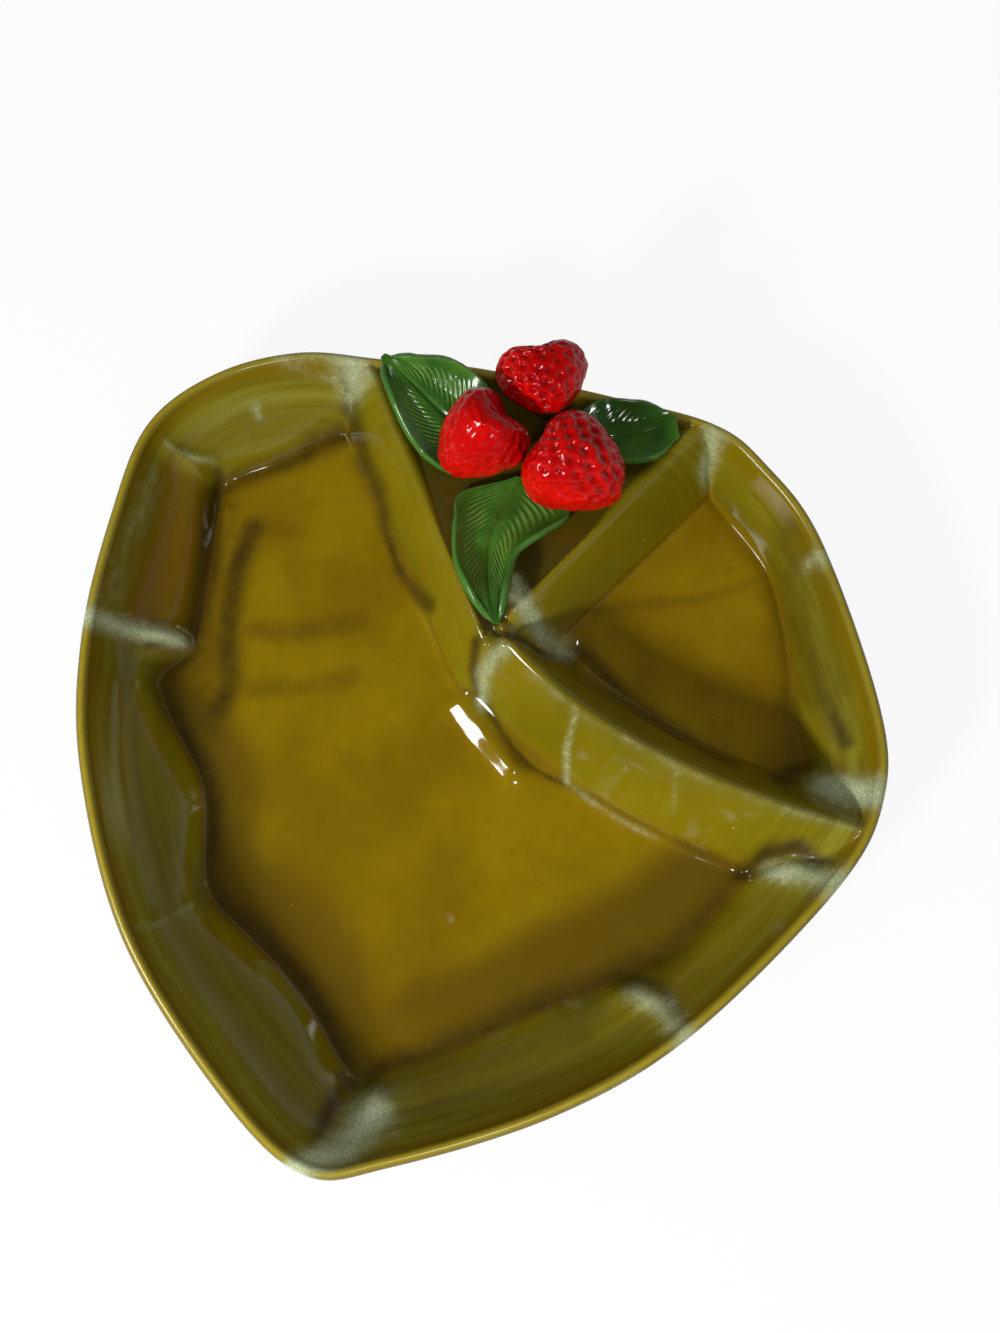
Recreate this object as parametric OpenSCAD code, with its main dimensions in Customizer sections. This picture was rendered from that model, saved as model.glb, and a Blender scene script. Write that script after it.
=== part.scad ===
// Divided serving dish in glazed pottery, with three strawberries and three leaves stuck on its land.
// Millimetres, +Z up. The origin is the middle of the outline, on the surface that the dish stands on.

/* [Dish] */
// Width of the rim outline, left to right
dish_w = 300; // [260:1:340]
// Depth of the rim outline, front to back
dish_d = 315; // [275:1:355]
// Height of the rim above the table
rim_h = 42; // [36:1:50]
// Width of the rounded lip
lip_w = 4.5; // [3.5:0.1:6]
// Thickness of the pottery, measured upright
body_t = 6; // [5:0.1:8]
// Height of the foot under each floor
foot_h = 2.5; // [1.5:0.1:4]
// Width of the foot
foot_w = 6; // [4:0.5:9]
// Widest run of the sloping wall in plan
wall_run = 36; // [28:1:42]
// Depth of the flute that hollows the front wall panels
flute_depth = 2.6; // [1:0.1:3]
// Roundness where the surfaces of the dish run together
blend = 5; // [3:0.1:7]

/* [Land and divider] */
// Drop from the rim to the flat land that carries the leaves
land_drop = 5; // [4:0.1:6]
// Drop from the rim to the nose where the ridges and the divider meet
nose_drop = 8; // [5:0.1:12]
// Run over which the land rises from the nose
nose_run = 48; // [36:1:60]
// Run of the low flanks on the land side of the ridges
inner_flank = 11; // [8:0.5:15]
// Run of the flank right of the land
right_flank = 16; // [12:0.5:20]
// Run of the flank left of the land
left_flank = 15; // [12:0.5:20]
// Run of the divider's front flank
divider_front = 21; // [16:0.5:25]
// Run of the divider's back flank
divider_back = 19; // [15:0.5:25]
// Roundness of the crests of the ridges and the divider
crest_round = 5; // [3:0.1:8]

/* [Leaves] */
// Length of the longest leaf
leaf_l = 66; // [58:0.5:70]
// Width of the widest leaf
leaf_w = 42; // [34:0.5:44]
// Thickness of a leaf
leaf_t = 3; // [2:0.1:3.4]
// Width of the bed of joining clay under a leaf
bed_w = 9; // [6:0.1:11]
// Thickness of the bed
bed_t = 0.8; // [0.4:0.1:1]
// Gap between a bed and the flank of a ridge
bed_gap = 1; // [0.5:0.1:2]

/* [Strawberries] */
// Length of a middling strawberry
berry_l = 37; // [31:0.5:39]
// Diameter of a middling strawberry
berry_w = 35; // [29:0.5:36]
// Depth of the flat under each strawberry
berry_flat = 3; // [2.5:0.1:5]
// Gap between the rim's height and the flat under the strawberries
berry_lift = 0.8; // [0.4:0.1:2]
// Diameter of the pad of joining clay under a strawberry
pad_d = 9; // [6:0.1:10]

/* [Hidden] */

half_size = [dish_w, dish_d] / 2;
floor_h = foot_h + body_t;
land_h = rim_h - land_drop;
nose_h = rim_h - nose_drop;
wall_top = rim_h - lip_w / 2;
foot_inset = foot_w / 5;
ridge_fall = land_drop * 2;
steep_run = body_t * 3.5;

// Rim outline, counter-clockwise from the land's right corner, in shares of the half sizes
rim_shares = [
    [0.61, 0.80], [0.35, 0.875], [0.00, 0.955],
    [-0.25, 0.98], [-0.48, 1.00], [-0.70, 0.94],
    [-0.87, 0.80], [-0.95, 0.55],
    [-1.00, 0.24], [-0.98, -0.08],
    [-0.85, -0.48], [-0.60, -0.83],
    [-0.40, -1.00], [-0.20, -0.985], [0.18, -0.875],
    [0.50, -0.70],
    [0.86, -0.37], [0.985, -0.16],
    [0.99, 0.07],
    [0.87, 0.49], [0.74, 0.69]
];
// Wall panel of each stretch of the outline, the runs of each panel from its start to its end,
// and the depth of its flute
rim_panel = [0, 0, 0, 1, 1, 1, 2, 2, 3, 3, 4, 4, 5, 5, 5, 6, 7, 7, 8, 9, 9];
run_shares = [
    [0.10, 0.10, 0.10, 0.10],
    [0.20, 0.45, 0.72, 0.62],
    [0.66, 0.80, 0.86, 0.86],
    [0.45, 0.72, 0.98, 0.74],
    [0.78, 1.02, 1.05, 0.96],
    [0.90, 0.88, 0.95, 0.76],
    [0.67, 0.62, 0.64, 0.67],
    [0.64, 0.62, 0.60, 0.58],
    [0.56, 0.44, 0.34, 0.27],
    [0.27, 0.27, 0.24, 0.20]
];
flute_shares = [0, 0.7, 1.9, 0.8, 1, 1.1, 0.85, 0, 0.55, 0.25];
hub_share = [0.06, 0.26];
left_ridge_shares = [[0.017, 0.243], [-0.293, 0.952]];
right_ridge_shares = [[0.085, 0.33], [0.585, 0.81]];
divider_shares = [[0.05, 0.28], [0.28, -0.04], [0.97, -0.24]];

// How much steeper a wall is at its lip and its foot than a straight one, and how soon a flute
// reaches its depth from the ends of its panel and from its lip
belly_share = 0.45;
flute_end_power = 0.6;
flute_power = 1.2;
// Least run of the outer wall, in shares of the widest run
skirt_share = 0.15;

// Rings of the dish: steps between two outline points, shares of the raised part round the hub on
// the upper side and the underside, and rings on the floor, the wall, the lip and the outer wall
rim_steps = 6;
raised_shares = [0.08, 0.18, 0.32, 0.48, 0.66, 0.84, 1];
under_shares = [1, 0.84, 0.66, 0.48, 0.32, 0.18];
raised_limit_share = 0.95;
floor_rings = 3;
wall_rings = 9;
lip_rings = 4;
outer_rings = 6;
search_steps = 12;
divider_steps = 12;
joint_share = 0.2;

stretches = len(rim_shares);
lines = stretches * rim_steps;

function mix(a, b, t) = a + (b - a) * t;
function ease(t) = let (c = max(0, min(1, t))) c * c * (3 - 2 * c);
function soft_max(a, b) = let (h = max(0, 1 - abs(a - b) / blend)) max(a, b) + h * h * blend / 4;
function cross_2d(a, b) = a.x * b.y - a.y * b.x;
function in_plan(share) = [share.x * half_size.x, share.y * half_size.y];

// A smooth curve between the second and the third of four values
function spline(a, b, c, d, t) =
    b + t * ((c - a) + t * ((2 * a - 5 * b + 4 * c - d) + t * (3 * (b - c) + d - a))) / 2;
function table_at(table, t) =
    let (n = len(table) - 1, k = min(n - 1, floor(t * n)), u = t * n - k)
    spline(table[max(0, k - 1)], table[k], table[k + 1], table[min(n, k + 2)], u);

// Rim outline, stretched to the dish's width and depth
rim_raw = [
    for (k = [0 : stretches - 1], s = [0 : rim_steps - 1])
        spline(
            rim_shares[(k + stretches - 1) % stretches], rim_shares[k],
            rim_shares[(k + 1) % stretches], rim_shares[(k + 2) % stretches], s / rim_steps
        )
];
rim_lo = [min([for (p = rim_raw) p.x]), min([for (p = rim_raw) p.y])];
rim_hi = [max([for (p = rim_raw) p.x]), max([for (p = rim_raw) p.y])];
rim = [
    for (p = rim_raw)
        [for (a = [0, 1]) mix(-half_size[a], half_size[a], (p[a] - rim_lo[a]) / (rim_hi[a] - rim_lo[a]))]
];
hub = in_plan(hub_share);
left_ridge = [for (p = left_ridge_shares) in_plan(p)];
right_ridge = [for (p = right_ridge_shares) in_plan(p)];
divider_curve = [for (p = divider_shares) in_plan(p)];

// Each line from the hub to the rim, its length square to the rim, the runs of its walls and its flute
line_reach = [
    for (i = [0 : lines - 1])
        let (along = rim[(i + 1) % lines] - rim[(i + lines - 1) % lines])
        abs(cross_2d(rim[i] - hub, along)) / norm(along)
];
function panel_place(k, t) =
    let (members = [for (j = [0 : stretches - 1]) if (rim_panel[j] == rim_panel[k % stretches]) j])
    (k % stretches - members[0] + t) / len(members);
function panel_run(k, t) = wall_run * table_at(run_shares[rim_panel[k % stretches]], panel_place(k, t));
line_run = [
    for (k = [0 : stretches - 1], s = [0 : rim_steps - 1])
        let (
            t = s / rim_steps,
            at_joint = rim_panel[k] != rim_panel[(k + stretches - 1) % stretches],
            meeting = (panel_run(k + stretches - 1, 1) + panel_run(k, 0)) / 2
        )
        mix(meeting, panel_run(k, t), at_joint ? ease(t / joint_share) : 1)
];
line_flute = [
    for (k = [0 : stretches - 1], s = [0 : rim_steps - 1])
        flute_depth * flute_shares[rim_panel[k]]
            * pow(sin(180 * panel_place(k, s / rim_steps)), flute_end_power)
];
outer_run = [for (run = line_run) max(run, wall_run * skirt_share)];
// A steep wall keeps its thickness because its outer side starts nearer to the outline
outer_lip = [for (run = outer_run) lip_w * min(1, run / steep_run)];
outer_flute = [for (i = [0 : lines - 1]) line_flute[i] * line_run[i] / outer_run[i]];

// Fall of a rounded flank at a distance from its crest, reaching the full fall at its run
function flank(distance, run, fall) =
    fall * (norm([distance, crest_round]) - crest_round) / (norm([run, crest_round]) - crest_round);
// Nearest place on a stretch: distance, share along it and side (left is positive)
function on_stretch(p, a, b) =
    let (
        way = b - a,
        share = max(0, min(1, (p - a) * way / (way * way)))
    )
    [norm(p - a - way * share), share, cross_2d(way, p - a)];
function divider_point(t) =
    mix(mix(divider_curve[0], divider_curve[1], t), mix(divider_curve[1], divider_curve[2], t), t);
function on_divider(p) =
    let (
        places = [
            for (s = [0 : divider_steps - 1])
                let (
                    near = divider_point(s / divider_steps),
                    far = divider_point((s + 1) / divider_steps),
                    q = on_stretch(p, near, far)
                )
                [q[0], (s + q[1]) / divider_steps, q[2]]
        ],
        nearest = min([for (q = places) q[0]])
    )
    [for (q = places) if (q[0] == nearest) q][0];

// Heights of the dish's upper surface
function wall_height(inset, run, flute) =
    let (
        place = max(0, inset - lip_w) / run,
        on_wall = min(1, place)
    )
    mix(wall_top, floor_h, place + belly_share * sin(360 * on_wall) / (2 * PI))
        - flute * pow(sin(180 * on_wall), flute_power);
function ridge_height(place, outer_run, inside) =
    let (crest = mix(nose_h, rim_h, place[1]))
    inside
        ? crest - flank(place[0], inner_flank, ridge_fall)
        : crest - flank(place[0], outer_run, crest - floor_h);
function trough_height(p) =
    mix(nose_h - land_drop / 2, land_h, ease(norm(p - hub) / nose_run));
function divider_height(place) =
    let (crest = mix(nose_h, rim_h, pow(place[1], 3)))
    crest - flank(place[0], place[2] > 0 ? divider_back : divider_front, crest - floor_h);
function raised_height(p) =
    let (
        left = on_stretch(p, left_ridge[0], left_ridge[1]),
        right = on_stretch(p, right_ridge[0], right_ridge[1]),
        on_land = left[2] < 0 && right[2] > 0,
        ridges = max(
            ridge_height(left, left_flank, left[2] < 0),
            ridge_height(right, right_flank, right[2] > 0)
        )
    )
    soft_max(max(ridges, on_land ? trough_height(p) : 0), divider_height(on_divider(p)));
function bowl_height(inset, run, flute) = soft_max(floor_h, wall_height(inset, run, flute));
function upper_height(p, inset, i) =
    min(rim_h, soft_max(bowl_height(inset, line_run[i], line_flute[i]), raised_height(p)));

// Shares of each line, from the hub to the rim, at which its wall, its foot and its raised part end
function line_point(i, share) = mix(hub, rim[i], share);
function share_at(i, inset) = 1 - inset / line_reach[i];
function search_floor(i, near, far, steps) =
    let (middle = (near + far) / 2)
    steps == 0
        ? far
        : raised_height(line_point(i, middle)) > floor_h - blend
            ? search_floor(i, middle, far, steps - 1)
            : search_floor(i, near, middle, steps - 1);
faired_run = [for (run = line_run) run * (1 + blend / (wall_top - floor_h))];
wall_foot = [for (i = [0 : lines - 1]) share_at(i, lip_w + faired_run[i])];
foot_end = [for (i = [0 : lines - 1]) share_at(i, lip_w + outer_run[i] + foot_inset * 2 + foot_w)];
raised_end = [
    for (i = [0 : lines - 1])
        search_floor(i, 0, min(wall_foot[i], foot_end[i]) * raised_limit_share, search_steps)
];

// Points of the dish on one line
function upper_point(i, share) =
    let (p = line_point(i, share))
    [p.x, p.y, upper_height(p, line_reach[i] * (1 - share), i)];
function lip_point(i, turn) =
    let (
        q = upper_point(i, share_at(i, lip_w / 2 * (1 - cos(turn)))),
        round_h = wall_top + lip_w / 2 * sin(turn)
    )
    [q.x, q.y, turn > 90 ? max(q.z, round_h) : round_h];
function outer_point(i, depth) =
    let (p = line_point(i, share_at(i, outer_lip[i] + depth)))
    [p.x, p.y, bowl_height(lip_w + depth, outer_run[i], outer_flute[i]) - body_t];
function foot_point(i, inset) =
    let (p = line_point(i, share_at(i, inset)))
    [p.x, p.y, 0];
// The underside lies under the lowest place near by, so that a steep flank keeps its thickness
function under_point(i, share) =
    let (
        p = line_point(i, share),
        around = [for (way = [[0, 0], [1, 0], [0, 1], [-1, 0], [0, -1]]) p + way * body_t / 2],
        lowest = min([for (q = around) soft_max(floor_h, raised_height(q))])
    )
    [p.x, p.y, lowest - body_t];

each_line = [0 : lines - 1];
dish_rings = concat(
    [for (share = raised_shares) [for (i = each_line) upper_point(i, raised_end[i] * share)]],
    [
        for (j = [1 : floor_rings])
            [for (i = each_line) upper_point(i, mix(raised_end[i], wall_foot[i], j / floor_rings))]
    ],
    [
        for (j = [1 : wall_rings - 1])
            [for (i = each_line) upper_point(i, share_at(i, lip_w + faired_run[i] * (1 - j / wall_rings)))]
    ],
    [for (j = [lip_rings : -1 : 0]) [for (i = each_line) lip_point(i, 180 * j / lip_rings)]],
    [
        for (j = [0 : outer_rings])
            [for (i = each_line) outer_point(i, outer_run[i] * j / outer_rings)]
    ],
    [
        for (width = [0, foot_w])
            [for (i = each_line) foot_point(i, lip_w + outer_run[i] + foot_inset + width)]
    ],
    [[for (i = each_line) under_point(i, foot_end[i])]],
    [for (share = under_shares) [for (i = each_line) under_point(i, raised_end[i] * share)]]
);

// Faces that join rings into a closed skin, with a middle point at each end
function skin_faces(rings, around) =
    let (last = rings * around)
    concat(
        [for (i = [0 : around - 1]) [last, (i + 1) % around, i]],
        [
            for (j = [0 : rings - 2], i = [0 : around - 1])
                let (a = j * around + i, b = j * around + (i + 1) % around)
                each [[a, b, b + around], [a, b + around, a + around]]
        ],
        [for (i = [0 : around - 1]) [last + 1, last - around + i, last - around + (i + 1) % around]]
    );

module dish_body() {
    hub_top = [hub.x, hub.y, upper_height(hub, line_reach[0], 0)];
    color("olive")
        polyhedron(
            concat([for (ring = dish_rings) each ring], [hub_top, under_point(0, 0)]),
            skin_faces(len(dish_rings), lines),
            convexity = 10
        );
}

// Places on the land: the cluster stands in front of a point of the back rim
back_share = [0.125, 0.93];
cluster_inset_share = 0.62;
cluster = in_plan(back_share) - [0, leaf_w * cluster_inset_share];
berry_size = (berry_l + berry_w * 2) / 3;
seat_h = rim_h + berry_lift;
leaf_h = land_h + bed_t;

// Each leaf: base from the cluster in strawberry sizes, heading, length share, sideways bow share,
// half-width shares on the left and the right of its midrib, and the curl shares of those two edges
left_leaf_plan_shares = [
    [-0.25, -0.35], 137, 1.0, 0,
    [0.15, 0.72, 0.90, 0.83, 0.64, 0.38, 0.06],
    [0.15, 0.60, 0.78, 0.88, 0.76, 0.34, 0.06],
    [1.1, 1.2]
];
front_leaf_plan_shares = [
    [-0.05, -0.475], 260, 0.95, -0.40,
    [0.15, 1.12, 0.92, 0.52, 0.38, 0.20, 0.06],
    [0.15, 0.90, 0.75, 0.62, 0.52, 0.31, 0.06],
    [1.0, 0.9]
];
right_leaf_plan_shares = [
    [0.25, -0.09], 7, 0.74, 0,
    [0.15, 0.42, 0.64, 0.70, 0.56, 0.40, 0.20],
    [0.15, 0.40, 0.50, 0.50, 0.60, 0.55, 0.25],
    [0.9, 0.8]
];
leaf_steps = 18;
leaf_side_steps = 5;
leaf_flat_steps = 2;
// Least and greatest share of a leaf's half width that lies flat; the flat takes the bed and the pad
flat_share = 0.4;
flat_limit_share = 0.8;
flat_half = max(bed_w, pad_d) / 2;
// Shares of a leaf's length at which its edges start to curl and its bed starts, the furthest at which
// the bed ends and the tip starts to lift, and those in which the curl and the lift are complete
curl_start_share = 0.12;
curl_ease_share = 0.3;
lift_start_share = 0.46;
lift_ease_share = 0.5;
curl_power = 1.2;
bed_start_share = 0.18;
bed_steps = 12;

function leaf_axis(plan) = [cos(plan[1]), sin(plan[1])];
function leaf_left(plan) = [-sin(plan[1]), cos(plan[1])];
function leaf_base(plan) = cluster + plan[0] * berry_size;
function leaf_middle(plan, t) =
    leaf_base(plan) + leaf_axis(plan) * leaf_l * plan[2] * t
        + leaf_left(plan) * leaf_w / 2 * plan[3] * sin(180 * t);
// A leaf starts to lift where its bed ends, which is sooner where the flank of a ridge comes in its way
function bed_clears(p, ridge) =
    let (
        place = on_stretch(p, ridge[0], ridge[1]),
        reach = bed_w / 2 + bed_gap,
        nearest = [max(0, place[0] - reach), min(1, place[1] + reach / norm(ridge[1] - ridge[0]))]
    )
    ridge_height(nearest, inner_flank, true) <= land_h;
function bed_end(plan) =
    max([
        for (k = [0 : bed_steps])
            let (
                t = mix(bed_start_share, lift_start_share, k / bed_steps),
                p = leaf_middle(plan, t)
            )
            if (bed_clears(p, left_ridge) && bed_clears(p, right_ridge)) t
    ]);
// A point on a leaf: share along it, column across it (left is positive), on its upper or lower face;
// the leaf bends up over what lies under it
function leaf_point(plan, t, column, top) =
    let (
        half = leaf_w / 2 * table_at(column < 0 ? plan[5] : plan[4], t),
        flat = min(flat_limit_share, max(flat_share, flat_half / half)),
        edge = max(0, abs(column) - leaf_flat_steps) / (leaf_side_steps - leaf_flat_steps),
        across = min(1, abs(column) / leaf_flat_steps) * flat + edge * (1 - flat),
        place = leaf_middle(plan, t) + leaf_left(plan) * half * across * sign(column),
        curl = land_drop * plan[6][column < 0 ? 1 : 0]
            * ease((t - curl_start_share) / curl_ease_share) * ease((1 - t) / curl_ease_share),
        lift = (land_drop + bed_t) * ease((t - bed_end(plan)) / lift_ease_share),
        underside = max(leaf_h + lift + curl * pow(edge, curl_power), raised_height(place) + bed_t),
        thickness = leaf_t * (1 - pow(edge, 3) / 2)
    )
    [place.x, place.y, underside + (top ? thickness : 0)];

module leaf(plan) {
    columns = leaf_side_steps * 2 + 1;
    there = [-leaf_side_steps : leaf_side_steps];
    back = [leaf_side_steps : -1 : -leaf_side_steps];
    rings = [
        for (i = [0 : leaf_steps])
            concat(
                [for (j = there) leaf_point(plan, i / leaf_steps, j, false)],
                [for (j = back) leaf_point(plan, i / leaf_steps, j, true)]
            )
    ];
    around = columns * 2;
    last = leaf_steps * around;
    end_faces = [
        for (start = [0, last], j = [0 : columns - 2])
            let (
                low = [start + j, start + j + 1],
                high = [start + around - 1 - j, start + around - 2 - j]
            )
            each start == 0
                ? [[low[0], low[1], high[1]], [low[0], high[1], high[0]]]
                : [[low[0], high[1], low[1]], [low[0], high[0], high[1]]]
    ];
    side_faces = [
        for (i = [0 : leaf_steps - 1], j = [0 : around - 1])
            let (a = i * around + j, b = i * around + (j + 1) % around)
            each [[a, a + around, b + around], [a, b + around, b]]
    ];
    color("darkgreen")
        polyhedron([for (ring = rings) each ring], concat(side_faces, end_faces), convexity = 6);
}

// Bed of joining clay along the flat middle of a leaf
module leaf_slip(plan) {
    ends = [for (t = [bed_start_share, bed_end(plan)]) leaf_middle(plan, t)];
    way = ends[1] - ends[0];
    color("darkolivegreen")
        translate([ends[0].x, ends[0].y, land_h])
            rotate(atan2(way.y, way.x))
                linear_extrude(bed_t) {
                    translate([0, -bed_w / 2])
                        square([norm(way), bed_w]);
                    circle(d = bed_w);
                    translate([norm(way), 0])
                        circle(d = bed_w);
                }
}

// Each strawberry: its widest place from the cluster in strawberry sizes, the heading of its tip,
// how far the tip tilts down, its size share, and its pad's place along it in strawberry lengths
left_berry_plan_shares = [[-0.371, -0.078], 217, 17, 0.96, 0.13];
right_berry_plan_shares = [[0.302, -0.452], 330, 8, 1.05, 0.10];
rear_berry_plan_shares = [[0.182, 0.631], 272, -25, 0.81, 0.24];
// Half section from the dimple at the stem end to the tip, in shares of length and radius
berry_shares = [
    [0.10, 0.00], [0.04, 0.20], [0.00, 0.40], [0.03, 0.62], [0.12, 0.86], [0.27, 1.00],
    [0.45, 0.96], [0.65, 0.80], [0.82, 0.58], [0.94, 0.32], [1.00, 0.00]
];
berry_curve_steps = 30;
widest_share = berry_shares[5].x;

function berry_place(plan) = cluster + plan[0] * berry_size;
function pad_place(plan) = berry_place(plan) + [cos(plan[1]), sin(plan[1])] * berry_l * plan[4];

module strawberry(plan) {
    section = [
        for (i = [0 : berry_curve_steps])
            let (q = table_at(berry_shares, i / berry_curve_steps))
            [max(0, q.y) * berry_w / 2, (q.x - widest_share) * berry_l]
    ];
    place = berry_place(plan);
    color("red")
        difference() {
            translate([place.x, place.y, seat_h - berry_flat + berry_w / 2 * plan[3]])
                rotate([0, 90 + plan[2], plan[1]])
                    scale(plan[3])
                        rotate_extrude($fn = 48)
                            polygon(section);
            translate([place.x - berry_w, place.y - berry_w, seat_h - berry_w])
                cube([berry_w * 2, berry_w * 2, berry_w]);
        }
}

// Pad of joining clay from a surface up to a strawberry's flat
module berry_pad(plan, bottom) {
    place = pad_place(plan);
    color("darkolivegreen")
        translate([place.x, place.y, bottom])
            cylinder(d = pad_d, h = seat_h - bottom, $fn = 48);
}

module left_leaf() {
    leaf(left_leaf_plan_shares);
}

module front_leaf() {
    leaf(front_leaf_plan_shares);
}

module right_leaf() {
    leaf(right_leaf_plan_shares);
}

module left_leaf_slip() {
    leaf_slip(left_leaf_plan_shares);
}

module front_leaf_slip() {
    leaf_slip(front_leaf_plan_shares);
}

module right_leaf_slip() {
    leaf_slip(right_leaf_plan_shares);
}

module left_strawberry() {
    strawberry(left_berry_plan_shares);
}

module right_strawberry() {
    strawberry(right_berry_plan_shares);
}

module rear_strawberry() {
    strawberry(rear_berry_plan_shares);
}

// The left strawberry stands on the left leaf, the other two on the land
module left_berry_pad() {
    berry_pad(left_berry_plan_shares, leaf_h + leaf_t);
}

module right_berry_pad() {
    berry_pad(right_berry_plan_shares, land_h);
}

module rear_berry_pad() {
    berry_pad(rear_berry_plan_shares, land_h);
}

dish_body();
left_leaf();
front_leaf();
right_leaf();
left_leaf_slip();
front_leaf_slip();
right_leaf_slip();
left_strawberry();
right_strawberry();
rear_strawberry();
left_berry_pad();
right_berry_pad();
rear_berry_pad();
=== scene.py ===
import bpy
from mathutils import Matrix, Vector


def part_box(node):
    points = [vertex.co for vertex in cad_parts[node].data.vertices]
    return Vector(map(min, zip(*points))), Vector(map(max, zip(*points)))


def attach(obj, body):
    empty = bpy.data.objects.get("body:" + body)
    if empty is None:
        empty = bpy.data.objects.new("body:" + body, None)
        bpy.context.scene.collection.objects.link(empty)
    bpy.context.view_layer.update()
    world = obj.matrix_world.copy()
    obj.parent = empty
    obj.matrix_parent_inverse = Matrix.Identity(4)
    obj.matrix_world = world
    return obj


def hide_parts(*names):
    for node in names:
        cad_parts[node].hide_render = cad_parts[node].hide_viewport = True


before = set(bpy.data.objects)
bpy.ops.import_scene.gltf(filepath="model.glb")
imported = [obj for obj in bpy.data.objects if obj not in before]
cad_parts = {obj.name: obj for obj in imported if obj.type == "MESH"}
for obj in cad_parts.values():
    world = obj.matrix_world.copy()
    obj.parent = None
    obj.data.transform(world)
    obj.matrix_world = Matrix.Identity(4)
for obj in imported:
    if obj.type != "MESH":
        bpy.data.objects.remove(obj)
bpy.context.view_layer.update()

import math

import bmesh
import bpy
import numpy as np
from mathutils import Euler, Matrix, Vector, kdtree, noise

mm = 0.001
print("frame loaded,", len(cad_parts), "nodes")


# small helpers on numbers and arrays, in millimetres

def mix(a, b, t):
    return a + (b - a) * t


def ease(t):
    c = np.clip(t, 0.0, 1.0)
    return c * c * (3.0 - 2.0 * c)


def window(t, start, startRun, end, endRun):
    # 1 between start and end, eased to 0 there over the two runs
    return ease((t - start) / startRun) * ease((end - t) / endRun)


def bump(distance, width):
    return np.exp(-(distance / width) ** 2)


def softMax(a, b, blend):
    h = np.maximum(0.0, 1.0 - np.abs(a - b) / blend)
    return np.maximum(a, b) + h * h * blend / 4.0


def smoothed(values, reach):
    # mean over the neighbours on both sides, round a closed line
    return np.mean([np.roll(values, shift) for shift in range(-reach, reach + 1)], 0)


def spline(a, b, c, d, t):
    return b + t * ((c - a) + t * ((2 * a - 5 * b + 4 * c - d) + t * (3 * (b - c) + d - a))) / 2


def tableAt(table, t):
    # smooth value at the share t of a table of evenly spaced values
    n = len(table) - 1
    k = np.minimum(n - 1, np.floor(np.asarray(t) * n)).astype(int)
    u = np.asarray(t) * n - k
    table = np.asarray(table, float)
    if table.ndim == 2:
        u = u[..., None]
    return spline(table[np.maximum(0, k - 1)], table[k], table[k + 1], table[np.minimum(n, k + 2)], u)


def cross(a, b):
    return a[..., 0] * b[..., 1] - a[..., 1] * b[..., 0]


def awayFrom(points, place):
    offset = points - np.asarray(place, float)
    return np.hypot(offset[..., 0], offset[..., 1])


def onStretch(points, start, end):
    way = np.asarray(end, float) - start
    share = np.clip(((points - start) @ way) / (way @ way), 0.0, 1.0)
    offset = points - start - share[..., None] * way
    return np.hypot(offset[..., 0], offset[..., 1]), share, cross(way, points - start)


def onPath(points, path):
    # nearest place on a chain of points: distance, share along it, side
    count = len(path) - 1
    best = None
    for k in range(count):
        distance, share, side = onStretch(points, path[k], path[k + 1])
        share = (share + k) / count
        if best is None:
            best = [distance, share, side]
        else:
            nearer = distance < best[0]
            best = [np.where(nearer, new, old) for new, old in zip((distance, share, side), best)]
    return best


def waviness(points, size, seed):
    # slow hand-made unevenness, from -1 to 1
    flat = points.reshape(-1, points.shape[-1]) / size
    shiftX, shiftY, shiftZ = seed * 17.3, seed * 5.1, seed * 3.7
    values = [noise.noise(Vector((p[0] + shiftX, p[1] - shiftY, shiftZ))) for p in flat]
    return np.array(values).reshape(points.shape[:-1])


# the socket class that every material below is written with

class Wire:
    def __init__(self, tree, socket=None):
        self.tree = tree
        self.socket = socket

    def node(self, kind, settings=None, sockets=None, out=0):
        made = self.tree.nodes.new("ShaderNode" + kind)
        for key, value in (settings or {}).items():
            setattr(made, key, value)
        for key, value in (sockets or {}).items():
            if isinstance(value, Wire):
                self.tree.links.new(value.socket, made.inputs[key])
            else:
                made.inputs[key].default_value = value
        return Wire(self.tree, made.outputs[out] if made.outputs else None)

    def math(self, operation, a, b):
        return self.node("Math", {"operation": operation}, {0: a, 1: b})

    def __add__(self, other):
        return self.math("ADD", self, other)

    def __radd__(self, other):
        return self.math("ADD", other, self)

    def __sub__(self, other):
        return self.math("SUBTRACT", self, other)

    def __rsub__(self, other):
        return self.math("SUBTRACT", other, self)

    def __mul__(self, other):
        return self.math("MULTIPLY", self, other)

    def __rmul__(self, other):
        return self.math("MULTIPLY", other, self)

    def most(self, other):
        return self.math("MAXIMUM", self, other)

    def below(self, limit):
        return self.math("LESS_THAN", self, limit)

    def step(self, low, high):
        # smooth step from 0 at low to 1 at high
        return self.node("MapRange", {"interpolation_type": "SMOOTHSTEP"},
                         {"Value": self, "From Min": low, "From Max": high})

    def band(self, rise, full, fall, end):
        # 1 between full and fall, 0 before rise and after end
        return self.step(rise, full) * (1.0 - self.step(fall, end))

    def blend(self, first, second):
        # colour first where this value is 0, second where it is 1
        return self.node("Mix", {"data_type": "RGBA"}, {"Factor": self, 6: first, 7: second}, out=2)

    def attribute(self, name):
        return self.node("Attribute", {"attribute_name": name}, out=2)

    def place(self, kind="Object"):
        return self.node("TexCoord", out=kind)

    def grain(self, scale, detail=2.0, roughness=0.5):
        return self.node("TexNoise", sockets={"Vector": self.place(), "Scale": scale, "Detail": detail,
                                              "Roughness": roughness})

    def specks(self, scale, radius, share):
        # small round flecks: a cell shows its fleck only where its own random number is low
        where = self.place()
        cell = self.node("TexVoronoi", sockets={"Vector": where, "Scale": scale})
        own = self.node("TexVoronoi", sockets={"Vector": where, "Scale": scale}, out=1)
        pick = self.node("SeparateColor", sockets={"Color": own})
        return (1.0 - cell.step(radius * 0.6, radius)) * pick.below(share)


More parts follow.
